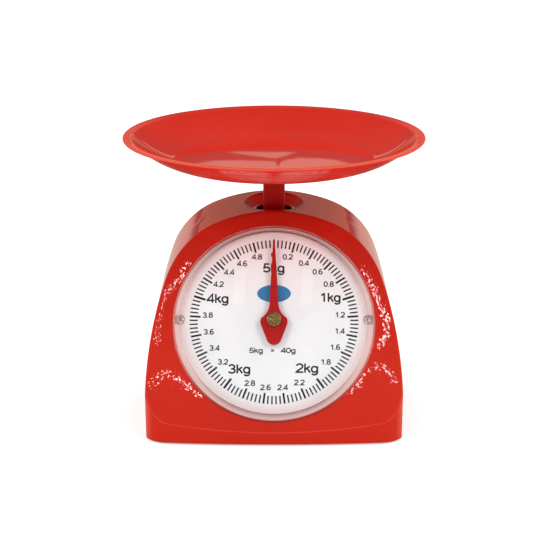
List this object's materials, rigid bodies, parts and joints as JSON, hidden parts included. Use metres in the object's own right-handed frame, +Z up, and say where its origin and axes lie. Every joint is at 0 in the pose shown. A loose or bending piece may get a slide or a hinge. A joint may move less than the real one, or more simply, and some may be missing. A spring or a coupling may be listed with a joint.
{
  "type": "kitchen scale",
  "caption": "Mechanical kitchen scale: dished round tray on a post, arched housing with a leaning round dial, teardrop pointer, springs, guide arms and rack drive inside.",
  "frame": {"origin": "the point on the table under the centre of the tray, at the underside of the rubber feet", "axes": "+Z up, -Y out of the dial's side, +X to the reader's right"},
  "size_m": [0.21, 0.21, 0.1913],
  "materials": {
    "housing_red": "glossy moulded red plastic",
    "tray_red": "glossy moulded red plastic, slightly translucent",
    "post_red": "satin moulded dark red plastic",
    "base_red": "satin red plastic",
    "pointer_red": "red painted plastic",
    "clear_lens": "clear polystyrene",
    "dial_white": "white printed sheet",
    "brass": "turned, slightly dull",
    "zinc_steel": "zinc plated sheet steel",
    "screw_steel": "nickel plated",
    "spring_steel": "bright spring wire",
    "black_rubber": "matt",
    "white_plastic": "acetal, natural"
  },
  "bodies": {
    "base": {"housing_shell": "housing_red", "base_plate": "base_red", "base_screws": "screw_steel", "rubber_feet": "black_rubber", "lens": "clear_lens", "dial_plate": "dial_white", "dial_screws": "screw_steel", "movement_frame": "zinc_steel", "front_bush": "brass", "rear_bush": "brass", "main_frame": "zinc_steel", "frame_screws": "screw_steel", "frame_pivot_pins": "zinc_steel", "down_stop": "black_rubber", "spring_left": "spring_steel", "spring_right": "spring_steel"},
    "carrier": {"carrier_bracket": "zinc_steel", "carrier_pins": "zinc_steel", "spring_crossbar": "zinc_steel", "rack_driver": "zinc_steel", "tray_post": "post_red", "post_screws": "screw_steel"},
    "tray": {"tray": "tray_red"},
    "upper_arm": {"upper_arm": "zinc_steel"},
    "lower_arm": {"lower_arm": "zinc_steel"},
    "rack": {"rack": "brass", "rack_pin": "zinc_steel"},
    "pointer": {"pointer_shaft": "zinc_steel", "pinion": "brass", "pointer": "pointer_red", "pointer_hub": "brass"},
    "zero_adjuster": {"zero_wheel": "base_red", "zero_screw": "zinc_steel", "zero_screw_clip": "spring_steel"},
    "hanger": {"spring_hanger": "zinc_steel", "hanger_nut": "brass"}
  },
  "joints": [
    {"name": "carrier_slide", "type": "slide", "parent": "base", "child": "carrier", "axis": [0, 0, -1], "range_m": [0, 0.0107], "stiffness_N_per_m": 4584, "springref_m": -0.00031, "deforming": ["spring_left", "spring_right"]},
    {"name": "tray_lift", "type": "slide", "parent": "carrier", "child": "tray", "axis": [0, 0, 1], "range_m": [0, 0.05]},
    {"name": "upper_arm_swing", "type": "hinge", "parent": "base", "child": "upper_arm", "pos_m": [0, 0.036, 0.1], "axis": [1, 0, 0], "range_deg": [0, 14.2]},
    {"name": "lower_arm_swing", "type": "hinge", "parent": "base", "child": "lower_arm", "pos_m": [0, 0.036, 0.035], "axis": [1, 0, 0], "range_deg": [0, 14.2]},
    {"name": "rack_slide", "type": "slide", "parent": "base", "child": "rack", "axis": [0, -0.5234, -0.8521], "range_m": [0, 0.01262]},
    {"name": "pointer_spin", "type": "hinge", "parent": "base", "child": "pointer", "pos_m": [0, -0.05332, 0.07264], "axis": [0, 0.8521, -0.5234], "range_deg": [0, 361]},
    {"name": "zero_turn", "type": "hinge", "parent": "base", "child": "zero_adjuster", "pos_m": [0, 0.034, 0.11], "axis": [0, 0, 1], "range_deg": [-722, 722]},
    {"name": "hanger_lift", "type": "slide", "parent": "base", "child": "hanger", "axis": [0, 0, 1], "range_m": [-0.0014, 0.0014]}
  ],
  "couplings": [
    {"joint": "upper_arm_swing", "follows": "carrier_slide", "rad_per_m": 22.727},
    {"joint": "lower_arm_swing", "follows": "carrier_slide", "rad_per_m": 22.727},
    {"joint": "rack_slide", "follows": "carrier_slide", "ratio": 1.1736},
    {"joint": "pointer_spin", "follows": "carrier_slide", "rad_per_m": 586.79},
    {"joint": "zero_turn", "follows": "hanger_lift", "rad_per_m": 8976}
  ]
}
